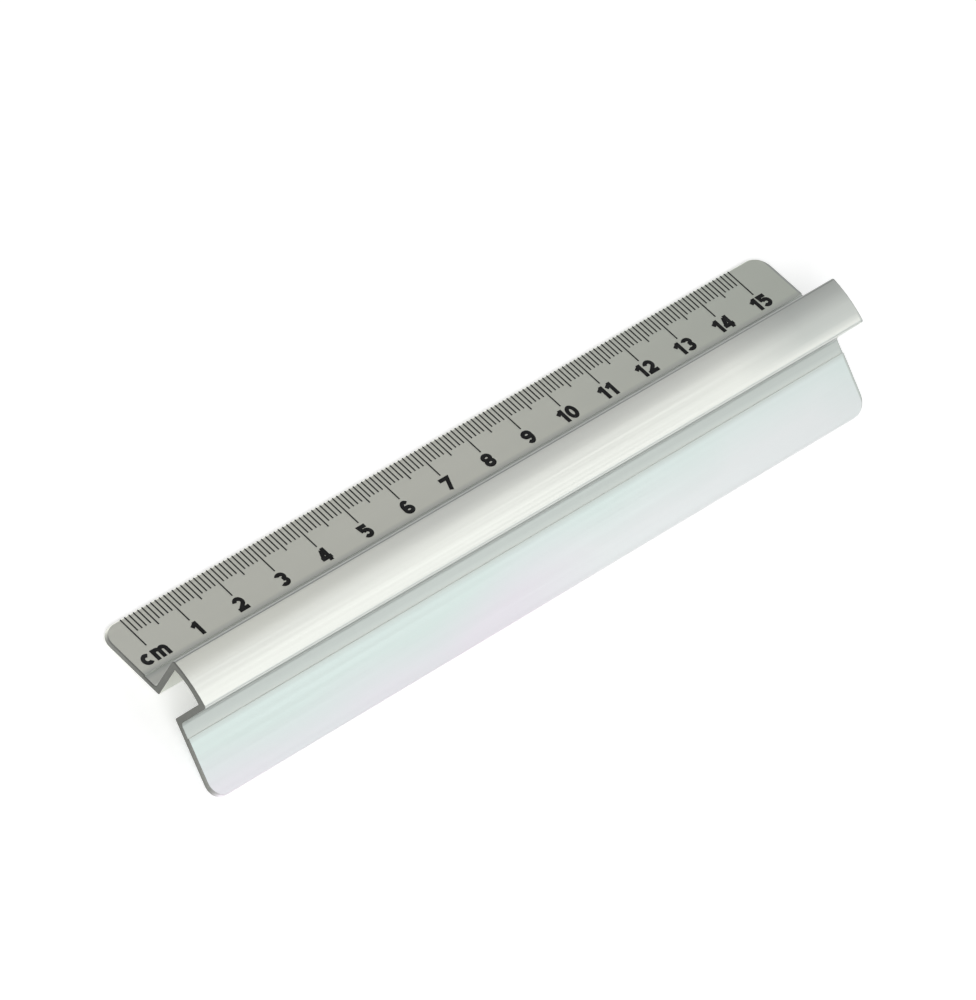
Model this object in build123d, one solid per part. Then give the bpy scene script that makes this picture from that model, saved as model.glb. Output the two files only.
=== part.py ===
from build123d import *

import os
from math import atan2, cos, sin, tan

# Fifteen centimetre ruler with a handle, in millimetres. It is one aluminium extrusion: two wings slope down
# to the paper like a shallow roof, and a hollow rail along the middle, wider at its top than at its foot, is
# the handle that two fingers pinch. The scale is printed in black on one wing.
# X runs along the ruler towards its high numbers, Y points to the edge with the scale, and Z points up. The
# origin is on the table, under the middle of the ruler.

# The extrusion as a whole, with the fine bevel that is filed round both cut ends
LENGTH = 163.0
WIDTH = 35.0
SHEET = 1.2
CORNER_RADIUS = 3.2
END_BEVEL = 0.15

# The wings: how high their underside stands at the rail's foot, and the flat strip under each outer edge
WING_RISE = 5.3
REST_STRIP = 0.6

# The rail: the clear channel inside it, the arch of its top, and its rounded edges
CHANNEL_FOOT = 5.0
CHANNEL_TOP = 7.1
CHANNEL_HEIGHT = 8.6
CROWN = 0.5
RAIL_EDGE_RADIUS = 0.6
FOOT_RADIUS = 0.8

# The shallow recess along the rail's foot, on both wings
RECESS_WIDTH = 2.9
RECESS_DEPTH = 0.25

# The printed scale: where its zero lies, and the lengths of its marks from the edge inwards
ZERO_FROM_END = 4.8
CENTIMETRE = 10
MARK_WIDTH = 0.24
MM_MARK = 3.5
HALF_CM_MARK = 4.45
CM_MARK = 6.8
INK = 0.05

# Figures and letters, measured over their strokes. They stand a little to the low side of their marks.
FIGURE_SPACE = 0.6
FIGURE_SHIFT = 0.12
FIGURE_HEIGHT = 3.1
FIGURE_WIDTH = 2.3
ONE_WIDTH = 1.6
LETTER_HEIGHT = 2.45
LETTER_C_WIDTH = 2.4
LETTER_M_WIDTH = 3.4
FIGURE_GAP = 0.35
LETTER_GAP = 0.2
STROKE = 0.8

# What follows from those sizes
half_width = WIDTH / 2
rest_edge = half_width - REST_STRIP
slope = atan2(WING_RISE, rest_edge - CHANNEL_FOOT / 2)
lean = atan2((CHANNEL_TOP - CHANNEL_FOOT) / 2, CHANNEL_HEIGHT)
wall_across = SHEET / cos(lean)
arch_foot = WING_RISE + CHANNEL_HEIGHT


def channel_half(height):
    """Half the clear width inside the rail, at a height above the table."""
    return CHANNEL_FOOT / 2 + (height - WING_RISE) * tan(lean)


def wing_top(across):
    """Height of a wing's upper face at a distance from the middle plane."""
    return (rest_edge - across) * tan(slope) + SHEET / cos(slope)


def polygon(*points):
    return make_face(Polyline(*points, close=True))


def rail_outline(wall):
    """The clear channel grown outwards by a wall, and run on down through the wings to the table."""
    top = arch_foot + wall * cos(lean)
    half_foot = channel_half(0) + wall / cos(lean)
    half_top = channel_half(top) + wall / cos(lean)
    sides = Polyline((half_top, top), (half_foot, 0), (-half_foot, 0), (-half_top, top))
    arch = ThreePointArc((-half_top, top), (0, arch_foot + CROWN + wall), (half_top, top))
    return make_face(sides + arch)


def meets_wall(depth):
    """Where the rail's wall meets a plane that lies this deep under a wing's upper face."""
    middle = wing_top(0) - depth / cos(slope)
    run = wall_across + channel_half(middle)
    across = run / (1 + tan(slope) * tan(lean))
    return across, middle - across * tan(slope)


def recess(side):
    """The strip taken off a wing's upper face, from the rail's wall outwards."""
    outer = channel_half(WING_RISE) + wall_across + RECESS_WIDTH
    step_foot = (outer - RECESS_DEPTH * sin(slope), wing_top(outer) - RECESS_DEPTH * cos(slope))
    shape = [meets_wall(RECESS_DEPTH), step_foot, (outer, wing_top(outer)), meets_wall(0)]
    return polygon(*[(side * across, height) for across, height in shape])


def section():
    """The extrusion's cross-section. Sketch X is the part's Y, and sketch Y is its Z."""
    ridge = rest_edge * tan(slope)
    edge_top = wing_top(half_width)
    right = [(half_width, 0), (half_width, edge_top)]
    left = [(-half_width, edge_top), (-half_width, 0)]
    roof = polygon(*right, (0, wing_top(0)), *left)
    under_roof = polygon((rest_edge, 0), (0, ridge), (-rest_edge, 0))
    profile = roof + rail_outline(SHEET) - rail_outline(0) - under_roof - recess(1) - recess(-1)
    crest = profile.vertices().group_by(Axis.Y)[-1]
    profile = fillet(crest, RAIL_EDGE_RADIUS)
    across, floor = meets_wall(RECESS_DEPTH)
    feet = [profile.vertices().sort_by_distance((side * across, floor))[0] for side in (1, -1)]
    return fillet(feet, FOOT_RADIUS)


def ruler_body():
    """The extrusion, cut square at both ends, with the wings' corners rounded."""
    lengthways = Plane(origin=(-LENGTH / 2, 0, 0), x_dir=(0, 1, 0), z_dir=(1, 0, 0))
    bar = extrude(lengthways * section(), LENGTH)
    plan = extrude(RectangleRounded(LENGTH, WIDTH, CORNER_RADIUS), WIDTH)
    blank = bar & plan
    cuts = [blank.faces().sort_by(Axis.X)[place] for place in (0, -1)]
    return chamfer([edge for cut in cuts for edge in cut.edges()], END_BEVEL)


# A figure stands on y = 0 and is centred on x = 0. These are the limits of its pen's path.
pen = STROKE / 2
reach = FIGURE_WIDTH / 2 - pen
foot = pen
head = FIGURE_HEIGHT - pen
tall = head - foot
waist = (foot + head) / 2


def stroke(*path):
    return trace(list(path), STROKE)


def bowl(middle, across, up, start, turn):
    return EllipticalCenterArc(middle, across, up, start, arc_size=turn)


def ring(middle, across, up):
    return Pos(*middle) * (Ellipse(across + pen, up + pen) - Ellipse(across - pen, up - pen))


def zero():
    return ring((0, waist), reach, tall / 2)


def one():
    stem = ONE_WIDTH / 2 - pen
    flag = Line((stem, head), (pen / 2 - ONE_WIDTH / 2, head - tall / 4))
    return stroke(Line((stem, 0), (stem, FIGURE_HEIGHT))) + stroke(flag)


def two():
    top = bowl((0, head - reach), reach, reach, 165, -205)
    base = Line((-reach - pen, foot), (reach + pen, foot))
    return stroke(top, Line(top @ 1, (-reach, foot))) + stroke(base)


def three():
    upper = (0, head - tall / 4)
    lower = (0, foot + tall / 4)
    opening = polygon(upper, (-FIGURE_WIDTH, FIGURE_HEIGHT), (-FIGURE_WIDTH, 0), lower)
    return ring(upper, reach, tall / 4) + ring(lower, reach, tall / 4) - opening


def four():
    stem = reach * 2 / 3
    bar = foot + tall / 5
    slant = stroke(Line((stem - pen, head), (-reach, bar)))
    cross = stroke(Line((-reach - pen, bar), (reach + pen, bar)))
    return slant + cross + stroke(Line((stem, 0), (stem, FIGURE_HEIGHT)))


def five():
    belly = bowl((0, foot + tall * 0.3), reach, tall * 0.3, 140, -290)
    return stroke(Polyline((reach, head), (-reach, head), belly @ 0)) + stroke(belly)


def six():
    belly = foot + tall / 4
    opening = [(0, waist), (0, head - tall * 0.3), (FIGURE_WIDTH, FIGURE_HEIGHT + pen)]
    below = [(FIGURE_WIDTH, 0), (-FIGURE_WIDTH, 0), (-FIGURE_WIDTH, waist)]
    back = zero() - polygon(*opening, *below)
    return ring((0, belly), reach, tall / 4) + back + stroke(Line((-reach, waist), (-reach, belly)))


def seven():
    return stroke(Polyline((-reach - pen, head), (reach, head), (-reach / 2, pen / 3)))


def eight():
    return ring((0, head - tall / 4), reach, tall / 4) + ring((0, foot + tall / 4), reach, tall / 4)


def nine():
    return Pos(0, FIGURE_HEIGHT) * Rot(0, 0, 180) * six()


def letter_c():
    return stroke(bowl((0, LETTER_HEIGHT / 2), LETTER_C_WIDTH / 2 - pen, LETTER_HEIGHT / 2 - pen, 50, 260))


def letter_m():
    stem = LETTER_M_WIDTH / 2 - pen
    arch = stem / 2
    spring = LETTER_HEIGHT - pen - arch
    letter = stroke(Line((-stem, 0), (-stem, LETTER_HEIGHT)))
    for side in (-1, 1):
        curve = bowl((side * arch, spring), arch, arch, 180, -180)
        letter += stroke(curve, Line(curve @ 1, (side * arch + arch, 0)))
    return letter


GLYPHS = {
    "0": (zero, FIGURE_WIDTH),
    "1": (one, ONE_WIDTH),
    "2": (two, FIGURE_WIDTH),
    "3": (three, FIGURE_WIDTH),
    "4": (four, FIGURE_WIDTH),
    "5": (five, FIGURE_WIDTH),
    "6": (six, FIGURE_WIDTH),
    "7": (seven, FIGURE_WIDTH),
    "8": (eight, FIGURE_WIDTH),
    "9": (nine, FIGURE_WIDTH),
    "c": (letter_c, LETTER_C_WIDTH),
    "m": (letter_m, LETTER_M_WIDTH),
}


def lettering(text):
    """The glyphs of a text side by side, centred on x = 0."""
    gap = FIGURE_GAP if text.isdigit() else LETTER_GAP
    total = sum(GLYPHS[glyph][1] for glyph in text) + gap * (len(text) - 1)
    left = -total / 2
    shapes = []
    for glyph in text:
        draw, width = GLYPHS[glyph]
        shapes += (Pos(left + width / 2, 0) * draw()).faces()
        left += width + gap
    return shapes


def mark_length(millimetre):
    if millimetre % CENTIMETRE == 0:
        return CM_MARK
    if millimetre % CENTIMETRE == CENTIMETRE / 2:
        return HALF_CM_MARK
    return MM_MARK


def scale_print():
    """Marks and numbers lying on the upper face of the wing, numbers upright towards its edge."""
    zero_mark = ZERO_FROM_END - LENGTH / 2
    corner = (zero_mark, half_width, wing_top(half_width))
    edge = Plane(origin=corner, x_dir=(1, 0, 0), z_dir=(0, sin(slope), cos(slope)))
    centimetres = int((LENGTH - 2 * ZERO_FROM_END) / CENTIMETRE)
    shapes = []
    for millimetre in range(centimetres * CENTIMETRE + 1):
        length = mark_length(millimetre)
        shapes += (Pos(millimetre, -length / 2) * Rectangle(MARK_WIDTH, length)).faces()
    base_line = -CM_MARK - FIGURE_SPACE - FIGURE_HEIGHT
    for number in range(centimetres + 1):
        text = str(number) if number else "cm"
        middle = number * CENTIMETRE - FIGURE_SHIFT
        shapes += [Pos(middle, base_line) * face for face in lettering(text)]
    return Compound([extrude(edge * face, INK) for face in shapes])


body = ruler_body()
scale = scale_print()
os.makedirs("parts", exist_ok=True)
export_step(body, "parts/ruler_body.step")
export_step(scale, "parts/scale_print.step")
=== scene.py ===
from math import cos, radians, sin

import bpy
from mathutils import Matrix, Vector


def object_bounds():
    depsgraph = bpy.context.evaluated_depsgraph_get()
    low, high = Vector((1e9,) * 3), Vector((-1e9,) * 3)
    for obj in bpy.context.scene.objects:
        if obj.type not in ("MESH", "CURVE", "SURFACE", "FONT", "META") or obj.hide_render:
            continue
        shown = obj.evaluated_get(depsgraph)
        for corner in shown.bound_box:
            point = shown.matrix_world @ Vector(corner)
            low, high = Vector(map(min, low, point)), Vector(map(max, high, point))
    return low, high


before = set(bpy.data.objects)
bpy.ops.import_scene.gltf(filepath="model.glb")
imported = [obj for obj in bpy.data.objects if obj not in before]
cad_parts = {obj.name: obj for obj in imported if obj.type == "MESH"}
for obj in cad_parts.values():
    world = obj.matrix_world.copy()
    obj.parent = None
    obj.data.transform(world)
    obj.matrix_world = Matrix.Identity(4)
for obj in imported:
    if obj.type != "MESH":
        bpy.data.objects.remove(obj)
cad_low, cad_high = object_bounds()


# Ruler body: one aluminium extrusion, matt etched and clear anodised. The die leaves faint straight lines
# along it, the saw and the corner cutter leave dark rough faces, and the anodised film has soft mint and
# lilac clouds on the plain wing. Painted shade lies in and beside the recesses, on the rail's walls, on its
# rounded edge over the scale, on its high end and along that end's edge, and painted light makes the low end
# lighter.
ruler_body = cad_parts["ruler_body"]

# Colours of the anodised film, from place to place, with painted light at the low end, of the painted shade,
# and of the cut faces
ANODISED_COLOUR = (0.80, 0.815, 0.775, 1.0)
# Painted light: lighter and warmer at the low end
LIT_LOW_END_COLOUR = (0.91, 0.92, 0.835, 1.0)
HIGH_END_COLOUR = (0.775, 0.815, 0.735, 1.0)
MINT_COLOUR = (0.73, 0.80, 0.775, 1.0)
LILAC_COLOUR = (0.83, 0.78, 0.83, 1.0)
PALE_COLOUR = (0.84, 0.84, 0.845, 1.0)
# Painted shade in and beside the recesses, on the rail's walls, on its high end and along that end's edge
PAINTED_SHADE_COLOUR = (0.60, 0.625, 0.60, 1.0)
# Painted shade over the rail's rounded edge above the scale
EDGE_SHADE_COLOUR = (0.47, 0.485, 0.47, 1.0)
CUT_COLOUR = (0.195, 0.20, 0.185, 1.0)
# Colour of the cut faces towards the wings' outer edges
OUTER_CUT_COLOUR = (0.31, 0.315, 0.295, 1.0)

# Feel of the surface: its roughness, and how fine, strong and deep the die's lines and the etched grain are
ANODISED_ROUGHNESS = 0.38
SMOOTHER_BY = 0.04
ROUGHER_BY = 0.06
CUT_ROUGHNESS = 0.55
DIE_LINES_PER_M = 2600
DIE_LINE_STRETCH = 0.004
DIE_LINE_DETAIL = 3.0
DIE_LINE_SPREAD = (0.3, 0.7)
DIE_LINE_STRENGTH = 0.12
DIE_LINE_DEPTH = 0.00002
ETCH_GRAIN_PER_M = 9000
ETCH_GRAIN_DETAIL = 2.0
ETCH_GRAIN_STRENGTH = 0.2
ETCH_GRAIN_DEPTH = 0.00001

# Clouds in the film of the plain wing
CLOUDS_PER_M = 24
CLOUD_DETAIL = 1.0
CLOUD_SPREAD = (0.35, 0.65)
CLOUD_DRIFT = 0.35

# How strongly a face takes the painted shade, and the rail's low end the warm painted light
STEP_SHADE = 0.85
SCALE_FOOT_SHADE = 0.32
SCALE_STEP_SHADE = 0.8
PLAIN_STEP_SHADE = 0.6
PLAIN_EDGE_SHADE = 0.1
WARM_SHARE = 0.6

# Places on the section: out from the ruler's middle, and up from the table
RAIL_WALL = 0.0037
RAIL_ROUNDING = 0.0044
HAZE_FULL = 0.0054
SHADE_FULL = 0.0062
RECESS_EDGE = 0.0066
SHADE_FROM = 0.0076
WALL_TOP = 0.01485
WARM_SIDE = 0.003
SHADE_SIDE = -0.0028
BRIGHT_SIDE = -0.0042
MINT_SIDE = -0.0085
OUTER_SIDE = -0.0160

# Places along the ruler, from its middle, and the reach of the cuts and of the painted shade at its ends and
# corners
WARM_END = -0.060
WARM_TO = -0.020
LILAC_END = -0.008
PALE_END = 0.015
BRIGHT_TO = 0.050
END_SHADE_FROM = 0.068
CORNER_RADIUS = 0.0032
CUT_MARGIN = 0.0002
EDGE_SHADE_MARGIN = 0.0006


def within(nodes, links, value, low, high):
    """One where a value lies between two limits, and nought elsewhere."""
    test = nodes.new("ShaderNodeMath")
    test.operation = "COMPARE"
    test.inputs[1].default_value = (low + high) / 2
    test.inputs[2].default_value = (high - low) / 2
    links.new(value, test.inputs[0])
    return test.outputs["Value"]


def joined(nodes, links, operation, first, second):
    """Two shares made one: added, multiplied or the greater, kept between nought and one."""
    maths = nodes.new("ShaderNodeMath")
    maths.operation = operation
    maths.use_clamp = True
    links.new(first, maths.inputs[0])
    links.new(second, maths.inputs[1])
    return maths.outputs["Value"]


def ramped(nodes, links, value, start, end, low=0.0, high=1.0):
    """A value that runs from low to high as the given one goes from start to end."""
    ramp = nodes.new("ShaderNodeMapRange")
    ramp.inputs["From Min"].default_value = start
    ramp.inputs["From Max"].default_value = end
    ramp.inputs["To Min"].default_value = low
    ramp.inputs["To Max"].default_value = high
    links.new(value, ramp.inputs["Value"])
    return ramp.outputs["Result"]


def blended(nodes, links, share, first, second):
    """The first colour where the share is nought and the second where it is one."""
    blend = nodes.new("ShaderNodeMix")
    blend.data_type = "RGBA"
    links.new(share, blend.inputs["Factor"])
    for colour, socket in ((first, blend.inputs[6]), (second, blend.inputs[7])):
        if isinstance(colour, tuple):
            socket.default_value = colour
        else:
            links.new(colour, socket)
    return blend.outputs[2]


def noise(nodes, links, vector, scale, detail):
    texture = nodes.new("ShaderNodeTexNoise")
    texture.inputs["Scale"].default_value = scale
    texture.inputs["Detail"].default_value = detail
    links.new(vector, texture.inputs["Vector"])
    return texture.outputs["Fac"]


def coordinate(nodes, links, vector, axis):
    axes = nodes.new("ShaderNodeSeparateXYZ")
    links.new(vector, axes.inputs["Vector"])
    return axes.outputs[axis]


def film_colour(nodes, links, place):
    """Cloudy mint by the rail to lilac or pale by the plain edge; painted light makes the scale wing and the
    scale side of the rail's top lighter and warmer at the low end.
    """
    along = coordinate(nodes, links, place, "X")
    across = coordinate(nodes, links, place, "Y")
    clouds = noise(nodes, links, place, CLOUDS_PER_M, CLOUD_DETAIL)
    drift = ramped(nodes, links, clouds, *CLOUD_SPREAD, -CLOUD_DRIFT, CLOUD_DRIFT)
    shift = ramped(nodes, links, across, MINT_SIDE, OUTER_SIDE)
    outwards = joined(nodes, links, "ADD", shift, drift)
    to_pale = ramped(nodes, links, along, LILAC_END, PALE_END)
    outer = blended(nodes, links, to_pale, LILAC_COLOUR, PALE_COLOUR)
    plain_film = blended(nodes, links, outwards, MINT_COLOUR, outer)
    # Painted light: the scale wing lighter and warmer towards the low end
    to_high_end = ramped(nodes, links, along, 0, cad_high.x)
    scale_film = blended(nodes, links, to_high_end, LIT_LOW_END_COLOUR, HIGH_END_COLOUR)
    plain_wing = within(nodes, links, across, cad_low.y, -RECESS_EDGE)
    scale_wing = within(nodes, links, across, RECESS_EDGE, cad_high.y)
    # Painted light: the scale side of the rail's top lighter and warmer at the low end
    warm_length = ramped(nodes, links, along, WARM_TO, WARM_END, 0.0, WARM_SHARE)
    warm_top = joined(nodes, links, "MULTIPLY", warm_length, ramped(nodes, links, across, 0, WARM_SIDE))
    rail_film = blended(nodes, links, warm_top, ANODISED_COLOUR, LIT_LOW_END_COLOUR)
    film = blended(nodes, links, plain_wing, rail_film, plain_film)
    return blended(nodes, links, scale_wing, film, scale_film)


def painted_shade_share(nodes, links, place, folded):
    """How much painted shade the metal takes: in and beside the recesses by the rail's walls, along the
    wings' steps, on the rail's high end and along that end's edge.
    """
    along = coordinate(nodes, links, place, "X")
    across = coordinate(nodes, links, place, "Y")
    aside = coordinate(nodes, links, folded, "Y")
    # Painted shade in the recesses beside the rail's walls and along the wings' steps, fading outwards, kept
    # below the top of the walls
    beyond_step = within(nodes, links, aside, RECESS_EDGE, SHADE_FROM)
    outer_fade = ramped(nodes, links, aside, SHADE_FROM, RECESS_EDGE, 0.0, STEP_SHADE)
    step_line = joined(nodes, links, "MULTIPLY", beyond_step, outer_fade)
    scale_recess = within(nodes, links, across, RAIL_WALL, RECESS_EDGE)
    scale_fade = ramped(nodes, links, across, HAZE_FULL, SHADE_FULL, SCALE_FOOT_SHADE, SCALE_STEP_SHADE)
    scale_foot = joined(nodes, links, "MULTIPLY", scale_recess, scale_fade)
    plain_recess = within(nodes, links, across, -RECESS_EDGE, -RAIL_WALL)
    plain_fade = ramped(nodes, links, across, -RECESS_EDGE, -HAZE_FULL, PLAIN_STEP_SHADE, 1.0)
    plain_foot = joined(nodes, links, "MULTIPLY", plain_recess, plain_fade)
    recesses = joined(nodes, links, "MAXIMUM", scale_foot, plain_foot)
    feet = joined(nodes, links, "MAXIMUM", recesses, step_line)
    below_top = within(nodes, links, coordinate(nodes, links, place, "Z"), 0, WALL_TOP)
    walls = joined(nodes, links, "MULTIPLY", feet, below_top)
    # Painted shade on the rail's high end, less along the bright plain side of its top
    high_end = ramped(nodes, links, along, BRIGHT_TO, END_SHADE_FROM)
    off_plain_edge = ramped(nodes, links, across, BRIGHT_SIDE, SHADE_SIDE, PLAIN_EDGE_SHADE, 1.0)
    shaded_length = joined(nodes, links, "MULTIPLY", high_end, off_plain_edge)
    rail_end = joined(nodes, links, "MULTIPLY", shaded_length, within(nodes, links, aside, 0, RECESS_EDGE))
    # Painted shade along the high end's edge
    end_edge_shade = within(nodes, links, along, cad_high.x - EDGE_SHADE_MARGIN, cad_high.x)
    return joined(nodes, links, "MAXIMUM", joined(nodes, links, "MAXIMUM", walls, rail_end), end_edge_shade)


def edge_shade_share(nodes, links, place):
    """One on the rail's rounded edge over the scale, where painted shade hides the edge's highlight."""
    over_scale = within(nodes, links, coordinate(nodes, links, place, "Y"), RAIL_ROUNDING, RECESS_EDGE)
    at_top = within(nodes, links, coordinate(nodes, links, place, "Z"), WALL_TOP, 2 * WALL_TOP)
    return joined(nodes, links, "MULTIPLY", over_scale, at_top)


def cut_share(nodes, links, folded):
    """One on the sawn ends, fading away round the wings' milled corners."""
    corner = (cad_high.x - CORNER_RADIUS, -cad_low.y - CORNER_RADIUS, cad_high.z)
    past = nodes.new("ShaderNodeVectorMath")
    past.operation = "SUBTRACT"
    past.inputs[1].default_value = corner
    links.new(folded, past.inputs[0])
    outwards = nodes.new("ShaderNodeVectorMath")
    outwards.operation = "MAXIMUM"
    links.new(past.outputs["Vector"], outwards.inputs[0])
    distance = nodes.new("ShaderNodeVectorMath")
    distance.operation = "LENGTH"
    links.new(outwards.outputs["Vector"], distance.inputs[0])
    rim = within(nodes, links, distance.outputs["Value"], CORNER_RADIUS - CUT_MARGIN, 2 * CORNER_RADIUS)
    endwards = coordinate(nodes, links, folded, "X")
    fade = ramped(nodes, links, endwards, corner[0] + CORNER_RADIUS / 2, cad_high.x - CUT_MARGIN)
    return joined(nodes, links, "MULTIPLY", rim, fade)


def relief(nodes, links, height, strength, distance, under=None):
    """A bump, on top of the one under it where there is one."""
    bump = nodes.new("ShaderNodeBump")
    bump.inputs["Strength"].default_value = strength
    bump.inputs["Distance"].default_value = distance
    links.new(height, bump.inputs["Height"])
    if under is not None:
        links.new(under, bump.inputs["Normal"])
    return bump.outputs["Normal"]


def anodised_aluminium():
    material = bpy.data.materials.new("satin_anodised_aluminium")
    material.use_nodes = True
    nodes = material.node_tree.nodes
    links = material.node_tree.links
    metal = nodes["Principled BSDF"]
    metal.inputs["Metallic"].default_value = 1.0

    place = nodes.new("ShaderNodeTexCoord").outputs["Object"]
    fold = nodes.new("ShaderNodeVectorMath")
    fold.operation = "ABSOLUTE"
    links.new(place, fold.inputs[0])
    folded = fold.outputs["Vector"]
    cut = cut_share(nodes, links, folded)
    film = film_colour(nodes, links, place)
    # Painted shade in and beside the recesses, on the rail's walls, on its high end and along that end's
    # edge
    face = blended(nodes, links, painted_shade_share(nodes, links, place, folded), film, PAINTED_SHADE_COLOUR)
    # Painted shade over the rail's rounded edge above the scale, hiding its highlight
    face = blended(nodes, links, edge_shade_share(nodes, links, place), face, EDGE_SHADE_COLOUR)
    aside = coordinate(nodes, links, folded, "Y")
    # The cut faces lighter towards the wings' outer edges
    towards_wing_edge = ramped(nodes, links, aside, RAIL_WALL, cad_high.y)
    cut_colour = blended(nodes, links, towards_wing_edge, CUT_COLOUR, OUTER_CUT_COLOUR)
    links.new(blended(nodes, links, cut, face, cut_colour), metal.inputs["Base Color"])

    along_die = nodes.new("ShaderNodeMapping")
    along_die.inputs["Scale"].default_value = (DIE_LINE_STRETCH, 1.0, 1.0)
    links.new(place, along_die.inputs["Vector"])
    die_lines = noise(nodes, links, along_die.outputs["Vector"], DIE_LINES_PER_M, DIE_LINE_DETAIL)
    smooth = ANODISED_ROUGHNESS - SMOOTHER_BY
    rough = ANODISED_ROUGHNESS + ROUGHER_BY
    satin = ramped(nodes, links, die_lines, *DIE_LINE_SPREAD, smooth, rough)
    roughness = nodes.new("ShaderNodeMix")
    links.new(cut, roughness.inputs["Factor"])
    links.new(satin, roughness.inputs["A"])
    roughness.inputs["B"].default_value = CUT_ROUGHNESS
    links.new(roughness.outputs["Result"], metal.inputs["Roughness"])

    etch_grain = noise(nodes, links, place, ETCH_GRAIN_PER_M, ETCH_GRAIN_DETAIL)
    lines = relief(nodes, links, die_lines, DIE_LINE_STRENGTH, DIE_LINE_DEPTH)
    etched = relief(nodes, links, etch_grain, ETCH_GRAIN_STRENGTH, ETCH_GRAIN_DEPTH, lines)
    links.new(etched, metal.inputs["Normal"])
    return material


ruler_body.material_slots[0].material = anodised_aluminium()


# Scale print: the marks, numbers and letters, screen printed in matt black ink on the sloping face of one
# wing after anodising. The ink lies a little thicker and thinner along a stroke.
scale_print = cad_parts["scale_print"]

INK_COLOUR = (0.008, 0.0085, 0.009, 1.0)
THIN_INK_COLOUR = (0.022, 0.023, 0.024, 1.0)
INK_ROUGHNESS = 0.65
INK_SHEEN = 0.25
INK_CLOUDS_PER_M = 900
INK_CLOUD_DETAIL = 2.0
THIN_FROM = 0.45
THIN_TO = 0.7


def printed_ink():
    material = bpy.data.materials.new("matt_black_ink")
    material.use_nodes = True
    nodes = material.node_tree.nodes
    links = material.node_tree.links
    ink = nodes["Principled BSDF"]
    ink.inputs["Roughness"].default_value = INK_ROUGHNESS
    ink.inputs["Specular IOR Level"].default_value = INK_SHEEN
    place = nodes.new("ShaderNodeTexCoord").outputs["Object"]
    clouds = noise(nodes, links, place, INK_CLOUDS_PER_M, INK_CLOUD_DETAIL)
    thinning = ramped(nodes, links, clouds, THIN_FROM, THIN_TO)
    links.new(blended(nodes, links, thinning, INK_COLOUR, THIN_INK_COLOUR), ink.inputs["Base Color"])
    return material


scale_print.material_slots[0].material = printed_ink()


# Floor: the plain white table that the ruler lies on. It is lit like the ruler and keeps its shadow, and
# where it is seen, straight or in the metal, a little white is added so that it reads as clean paper.
FLOOR_SIZE = 6.0
FLOOR_COLOUR = (0.9, 0.9, 0.9, 1.0)
FLOOR_ROUGHNESS = 0.9
FLOOR_SHEEN = 0.1
FLOOR_LIFT = 0.36

bpy.ops.object.select_all(action="DESELECT")
bpy.ops.mesh.primitive_plane_add(size=FLOOR_SIZE, location=(0, 0, 0))
floor = bpy.context.object
floor.name = "floor"


def white_table():
    material = bpy.data.materials.new("white_table")
    material.use_nodes = True
    nodes = material.node_tree.nodes
    links = material.node_tree.links
    paper = nodes["Principled BSDF"]
    paper.inputs["Base Color"].default_value = FLOOR_COLOUR
    paper.inputs["Roughness"].default_value = FLOOR_ROUGHNESS
    paper.inputs["Specular IOR Level"].default_value = FLOOR_SHEEN
    paper.inputs["Emission Color"].default_value = (1, 1, 1, 1)
    sight = nodes.new("ShaderNodeLightPath")
    seen = joined(nodes, links, "MAXIMUM", sight.outputs["Is Camera Ray"], sight.outputs["Is Glossy Ray"])
    links.new(ramped(nodes, links, seen, 0.0, 1.0, 0.0, FLOOR_LIFT), paper.inputs["Emission Strength"])
    return material


floor.data.materials.append(white_table())


# Studio light: an even pale room and three soft panels. One hangs over the far end and shows in the rail, a
# cooler one stands beside the plain edge and shows in that wing, and the key panel is behind the camera.
ROOM_LEVEL = 0.42

world = bpy.data.worlds.new("room")
world.use_nodes = True
world.node_tree.nodes["Background"].inputs["Color"].default_value = (1, 1, 1, 1)
world.node_tree.nodes["Background"].inputs["Strength"].default_value = ROOM_LEVEL
bpy.context.scene.world = world


def soft_panel(name, towards, distance, size, watts, colour):
    light = bpy.data.lights.new(name, "AREA")
    light.shape = "SQUARE"
    light.size = size
    light.energy = watts
    light.color = colour
    panel = bpy.data.objects.new(name, light)
    bpy.context.scene.collection.objects.link(panel)
    direction = Vector(towards).normalized()
    panel.location = direction * distance
    panel.rotation_euler = (-direction).to_track_quat("-Z", "Y").to_euler()


soft_panel(
    "far_panel",
    towards=(0.46, -0.10, 0.88),
    distance=1.0,
    size=0.64,
    watts=1.28,
    colour=(1.0, 1.0, 0.98),
)
soft_panel(
    "cool_side_panel",
    towards=(0.45, -0.62, 0.62),
    distance=1.6,
    size=1.1,
    watts=2.2,
    colour=(0.88, 1.0, 1.0),
)
soft_panel(
    "key_panel",
    towards=(-0.55, -0.45, 0.72),
    distance=1.8,
    size=1.2,
    watts=15.0,
    colour=(1.0, 1.0, 1.0),
)


# Camera: looks down over the low end of the scale, along the ruler, and is rolled so that the ruler runs
# from the lower left of the picture to the upper right.
AIM = Vector((-0.0024, 0.0029, 0.005))
AZIMUTH = radians(-78.988)
ELEVATION = radians(54.324)
ROLL = radians(46.265)
DISTANCE = 1.212
SENSOR = 36.0
LENS = 248.75
SEES_TO = 20.0

camera = bpy.data.cameras.new("camera")
camera.sensor_width = SENSOR
camera.lens = LENS
camera.clip_end = SEES_TO
camera_object = bpy.data.objects.new("camera", camera)
bpy.context.scene.collection.objects.link(camera_object)
back = Vector((sin(AZIMUTH) * cos(ELEVATION), -cos(AZIMUTH) * cos(ELEVATION), sin(ELEVATION)))
turn = (-back).to_track_quat("-Z", "Y").to_matrix() @ Matrix.Rotation(ROLL, 3, "Z")
camera_object.matrix_world = Matrix.Translation(AIM + back * DISTANCE) @ turn.to_4x4()
bpy.context.scene.camera = camera_object
bpy.context.scene.view_settings.view_transform = "Standard"
